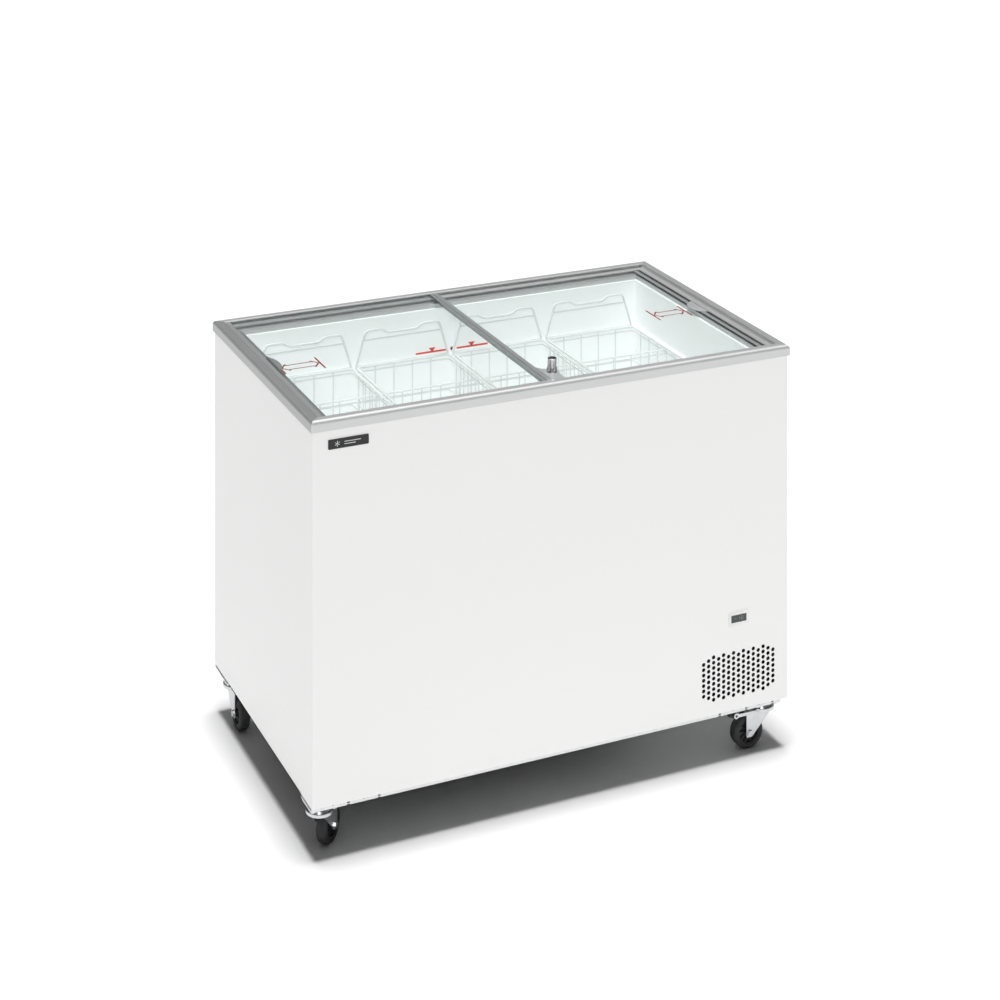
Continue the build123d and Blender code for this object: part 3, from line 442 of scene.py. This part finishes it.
# ---- wire baskets -----------------------------------------------------------------------
FRAME_WIRE = 2.4 * MM
FILL_WIRE = 1.3 * MM
FLOOR_WIRE = FRAME_WIRE * 0.8
GRIP_WIRE = FILL_WIRE * 1.2
WIRE_PITCH = 40 * MM
LEDGE_Z = 0.690
SIDE_GAP = 1 * MM
END_Y = 239 * MM
HOOK_INSET = 8 * MM
DIVIDER_Y = 82 * MM
RING_DROPS = (9 * MM, 75 * MM)
FLOOR_RING_LIFT = 3 * MM
DIVIDER_DROPS = (3 * MM, 12 * MM)
RING_BEND, FILL_BEND, HOOK_BEND, HANDLE_BEND = 12 * MM, 8 * MM, 5 * MM, 9 * MM
HANDLE_HALF, SHOULDER_HALF, GRIP_HALF = 83.5 * MM, 46 * MM, 34 * MM
GRIP_DIP = 9 * MM
HANDLE_WIRE_DROP = 19 * MM


def end_handle(cx, half, y, rim, top):
    """Raised trapezoid end: shoulders, a dipped hand grip, and a second wire below the top."""
    outline = [
        (cx - half, y, rim), (cx - HANDLE_HALF, y, top), (cx - SHOULDER_HALF, y, top),
        (cx - GRIP_HALF, y, top - GRIP_DIP), (cx + GRIP_HALF, y, top - GRIP_DIP),
        (cx + SHOULDER_HALF, y, top), (cx + HANDLE_HALF, y, top), (cx + half, y, rim),
    ]
    lower = top - HANDLE_WIRE_DROP
    share = (top - lower) / (top - rim)
    reach = HANDLE_HALF + (half - HANDLE_HALF) * share
    return [
        (rounded(outline, HANDLE_BEND), FRAME_WIRE, False),
        ([(cx - reach, y, lower), (cx + reach, y, lower)], GRIP_WIRE, False),
    ]


def basket_runs(low, high):
    """All the wires of one basket, worked out from the CAD tray's box."""
    cx = (low.x + high.x) / 2
    half = (high.x - low.x) / 2 - FRAME_WIRE - SIDE_GAP
    left, right = cx - half, cx + half
    floor, rim, top = low.z + FILL_WIRE, LEDGE_Z + FRAME_WIRE, high.z - FRAME_WIRE
    runs = []
    corners = [(left, -END_Y), (right, -END_Y), (right, END_Y), (left, END_Y)]
    rings = [(rim, FRAME_WIRE)]
    rings += [(rim - drop, FILL_WIRE) for drop in RING_DROPS]
    rings += [(floor + FLOOR_RING_LIFT, FLOOR_WIRE)]
    for z, radius in rings:
        runs.append((rounded([(x, y, z) for x, y in corners], RING_BEND, closed=True), radius, True))
    rows = round(2 * END_Y / WIRE_PITCH)
    for index in range(1, rows):
        y = -END_Y + 2 * END_Y * index / rows
        path = [(left, y, rim), (left, y, floor), (right, y, floor), (right, y, rim)]
        runs.append((rounded(path, FILL_BEND), FILL_WIRE, False))
    columns = round(2 * half / WIRE_PITCH)
    column_places = [left + 2 * half * index / columns for index in range(1, columns)]
    for x in column_places:
        path = [(x, -END_Y, rim), (x, -END_Y, floor), (x, END_Y, floor), (x, END_Y, rim)]
        runs.append((rounded(path, FILL_BEND), FILL_WIRE, False))
    for side in (-1, 1):
        y = side * (high.y - HOOK_INSET)
        runs += end_handle(cx, half, y, rim, top)
        hook = [(left, side * END_Y, rim), (left, y, rim), (right, y, rim), (right, side * END_Y, rim)]
        runs.append((rounded(hook, HOOK_BEND), FRAME_WIRE, False))
        divider = side * DIVIDER_Y
        for drop, radius in zip(DIVIDER_DROPS, (FLOOR_WIRE, FILL_WIRE)):
            z = rim - drop
            runs.append(([(left, divider, z), (right, divider, z)], radius, False))
        for x in column_places:
            upright = [(x, divider, floor), (x, divider, rim - DIVIDER_DROPS[0])]
            runs.append((upright, FILL_WIRE, False))
    return runs


def build_baskets():
    for index in range(1, 5):
        node = f"basket_{index}"
        low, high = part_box(node)
        piece = wire_piece(f"wire_{node}", basket_runs(low, high), MATERIALS["wire"], node, node)


# ---- prints -------------------------------------------------------------------------------
# How far the tub's rim reaches out behind the inner face of its rear wall.
RIM_REACH = 16 * MM
LOAD_LINE_X, LOAD_LINE_Z = 8.5 * MM, 0.697
LOAD_LINE_NEAR, LOAD_LINE_FAR, LOAD_LINE_WIDTH = 11 * MM, 84 * MM, 4 * MM
POINTER_AT, POINTER_HALF, POINTER_TOP, POINTER_TIP = 46 * MM, 8 * MM, 9 * MM, -1 * MM
DOT_RADIUS, DOT_LIFT, DOT_STEPS = 4 * MM, 1 * MM, 16


def build_load_line():
    """Red fill mark on the tub's rear wall: a broken line with two pointers and a centre dot."""
    wall_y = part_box("inner_liner")[1].y - RIM_REACH
    plane = ((0.0, wall_y, LOAD_LINE_Z), (1, 0, 0), (0, 0, 1))
    red = []
    for side in (-1, 1):
        near, far = LOAD_LINE_X + side * LOAD_LINE_NEAR, LOAD_LINE_X + side * LOAD_LINE_FAR
        red.append(bar(near, 0, far, 0, LOAD_LINE_WIDTH))
        tip = LOAD_LINE_X + side * POINTER_AT
        corners = (tip - POINTER_HALF, POINTER_TOP), (tip + POINTER_HALF, POINTER_TOP)
        red.append([corners[0], (tip, POINTER_TIP), corners[1]])
    thin_print("load_line", red, plane, MATERIALS["red"], "cabinet")
    turns = [math.tau * step / DOT_STEPS for step in range(DOT_STEPS)]
    dot = [(LOAD_LINE_X + DOT_RADIUS * math.cos(a), DOT_LIFT + DOT_RADIUS * math.sin(a)) for a in turns]
    thin_print("load_line_dot", [dot], plane, MATERIALS["dark_red"], "cabinet")


# Where each pane's arrow begins and ends in X, and its middle in Y.
SLIDE_ARROWS = {"left": (-0.468, -0.386, -0.011), "right": (0.359, 0.434, -0.008)}
ARROW_BAR_HALF, ARROW_BAR_WIDTH, ARROW_LINE = 33 * MM, 3.4 * MM, 3.1 * MM
ARROW_TIP_GAP, ARROW_HEAD = 3 * MM, 15 * MM
ARROW_SHAFT_HALF, ARROW_BARB_HALF = 12 * MM, 18 * MM


def build_slide_arrow(side_name):
    """Hollow double arrow between two end bars, on top of the lid's pane, along its slide."""
    x0, x1, y = SLIDE_ARROWS[side_name]
    strokes = []
    for end, inward in ((x0, 1), (x1, -1)):
        tip, base = end + inward * ARROW_TIP_GAP, end + inward * ARROW_HEAD
        strokes.append(bar(end, -ARROW_BAR_HALF, end, ARROW_BAR_HALF, ARROW_BAR_WIDTH))
        for side in (-1, 1):
            barb = side * ARROW_BARB_HALF
            strokes.append(bar(tip, 0, base, barb, ARROW_LINE))
            strokes.append(bar(base, side * ARROW_SHAFT_HALF, base, barb, ARROW_LINE))
    for side in (-1, 1):
        v = side * ARROW_SHAFT_HALF
        strokes.append(bar(x0 + ARROW_HEAD, v, x1 - ARROW_HEAD, v, ARROW_LINE))
    pane_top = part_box(f"{side_name}_lid_glass")[1].z
    plane = ((0.0, y, pane_top), (1, 0, 0), (0, 1, 0))
    thin_print(f"{side_name}_slide_arrow", strokes, plane, MATERIALS["dark_red"], f"{side_name}_lid")


STAR_X, STAR_ARM, STAR_WIDTH = -22 * MM, 5.4 * MM, 0.9 * MM
# The two rules beside the star: height and length of each.
RULES = ((2.2 * MM, 32 * MM), (-2.2 * MM, 22 * MM))
RULE_X, RULE_WIDTH = -8 * MM, 1.1 * MM


def build_badge_emblem():
    """A plain six-armed frost star, drawn on the blank badge with two short rules."""
    strokes = []
    for step in range(6):
        a = math.tau * step / 6 + math.pi / 6
        tip_x, tip_z = STAR_X + STAR_ARM * math.cos(a), STAR_ARM * math.sin(a)
        strokes.append(bar(STAR_X, 0, tip_x, tip_z, STAR_WIDTH))
    for z, length in RULES:
        strokes.append(bar(RULE_X, z, RULE_X + length, z, RULE_WIDTH))
    thin_print("badge_emblem", strokes, upright_plane("badge_plate"), MATERIALS["pale"], "cabinet")


# A figure's seven strokes, each from one corner to another on a grid one wide and two high.
SEGMENT_ENDS = {
    "top": (0, 2, 1, 2), "upper_left": (0, 1, 0, 2), "upper_right": (1, 1, 1, 2), "middle": (0, 1, 1, 1),
    "lower_left": (0, 0, 0, 1), "lower_right": (1, 0, 1, 1), "bottom": (0, 0, 1, 0),
}
READOUT = (("middle",), ("upper_right", "lower_right"), tuple(SEGMENT_ENDS))
FIGURE_WIDTH, FIGURE_HALF_HEIGHT, FIGURE_PITCH, FIGURE_LINE = 4.2 * MM, 3.6 * MM, 7.5 * MM, 1.0 * MM


def build_readout():
    """A faint two-figure temperature below zero on the thermometer's window."""
    strokes = []
    for place, segments in enumerate(READOUT):
        left = (place - 1) * FIGURE_PITCH - FIGURE_WIDTH / 2
        for segment in segments:
            x0, z0, x1, z1 = SEGMENT_ENDS[segment]
            start = (left + x0 * FIGURE_WIDTH, (z0 - 1) * FIGURE_HALF_HEIGHT)
            stop = (left + x1 * FIGURE_WIDTH, (z1 - 1) * FIGURE_HALF_HEIGHT)
            strokes.append(bar(*start, *stop, FIGURE_LINE))
    plane = upright_plane("thermometer_display")
    thin_print("thermometer_readout", strokes, plane, MATERIALS["segment"], "cabinet")


build_baskets()
build_load_line()
build_readout()
build_slide_arrow("left")
build_slide_arrow("right")
build_badge_emblem()


# ---- stage: pale floor, soft studio light, camera ----------------------------------------
def build_floor():
    """The pale studio floor, just below the wheels."""
    s = Surface("studio_floor", (0.90, 0.90, 0.90), 0.55)
    s.mottle(s.noise(scale=0.6), amount=0.002)
    s.gloss(s.noise(scale=1.5), amount=0.01)
    mesh = bpy.data.meshes.new("studio_floor")
    work = bmesh.new()
    bmesh.ops.create_grid(work, x_segments=8, y_segments=8, size=FLOOR_SIZE)
    work.to_mesh(mesh)
    work.free()
    mesh.materials.append(s.material)
    floor = bpy.data.objects.new("studio_floor", mesh)
    floor.location = (0, 0, -FLOOR_DROP)
    bpy.context.scene.collection.objects.link(floor)


def build_sky():
    """A dim sky that brightens upwards; the camera sees a white backdrop in its place."""
    world = bpy.data.worlds.new("studio")
    bpy.context.scene.world = world
    world.use_nodes = True
    nodes, links = world.node_tree.nodes, world.node_tree.links
    background = nodes["Background"]
    background.inputs["Color"].default_value = (1.0, 1.0, 1.0, 1.0)
    direction = nodes.new("ShaderNodeTexCoord")
    axes = nodes.new("ShaderNodeSeparateXYZ")
    height = nodes.new("ShaderNodeClamp")
    view = nodes.new("ShaderNodeLightPath")
    curve, rise, seen = (nodes.new("ShaderNodeMath") for _ in range(3))
    curve.operation, rise.operation, seen.operation = "POWER", "MULTIPLY_ADD", "MAXIMUM"
    curve.inputs[1].default_value = SKY_CURVE
    rise.inputs[1].default_value = SKY_RISE
    rise.inputs[2].default_value = SKY_HORIZON
    links.new(direction.outputs["Generated"], axes.inputs["Vector"])
    links.new(axes.outputs["Z"], height.inputs["Value"])
    links.new(height.outputs["Result"], curve.inputs[0])
    links.new(curve.outputs["Value"], rise.inputs[0])
    links.new(rise.outputs["Value"], seen.inputs[0])
    links.new(view.outputs["Is Camera Ray"], seen.inputs[1])
    links.new(seen.outputs["Value"], background.inputs["Strength"])


def build_sun(name, direction, spread, power, receivers):
    """A broad soft sun that lights nothing but its receivers."""
    light = bpy.data.lights.new(name, "SUN")
    light.energy = power
    light.angle = math.radians(spread)
    lamp = bpy.data.objects.new(name, light)
    lamp.rotation_euler = Vector(direction).to_track_quat("-Z", "Y").to_euler()
    bpy.context.scene.collection.objects.link(lamp)
    group = bpy.data.collections.new(name + "_receivers")
    for receiver in receivers:
        group.objects.link(receiver)
    lamp.light_linking.receiver_collection = group


def build_suns():
    """The freezer and the floor under it have their own suns."""
    meshes = [item for item in bpy.context.scene.collection.all_objects if item.type == "MESH"]
    lit = {
        "freezer": [item for item in meshes if item.name != "studio_floor"],
        "floor": [item for item in meshes if item.name == "studio_floor"],
    }
    for name, direction, spread, power, group in SUNS:
        build_sun(name, direction, spread, power, lit[group])


def build_camera():
    """The camera keeps its lens shift only while it stands at its own place."""
    data = bpy.data.cameras.new("camera")
    data.sensor_width = 36.0
    data.lens = CAMERA_LENS
    camera = bpy.data.objects.new("camera", data)
    camera.location = CAMERA_PLACE
    camera.rotation_euler = (math.pi / 2, 0.0, CAMERA_TURN)
    home = bpy.data.objects.new("camera_home", None)
    home.location = CAMERA_PLACE
    for item in (camera, home):
        bpy.context.scene.collection.objects.link(item)
    driver = data.driver_add("shift_y").driver
    driver.type = "SCRIPTED"
    distance = driver.variables.new()
    distance.name = "distance"
    distance.type = "LOC_DIFF"
    distance.targets[0].id = camera
    distance.targets[1].id = home
    driver.expression = f"{CAMERA_SHIFT} if distance < {CAMERA_HOME_REACH} else 0.0"
    bpy.context.scene.camera = camera


build_floor()
build_sky()
build_suns()
build_camera()
bpy.context.scene.view_settings.view_transform = "Standard"
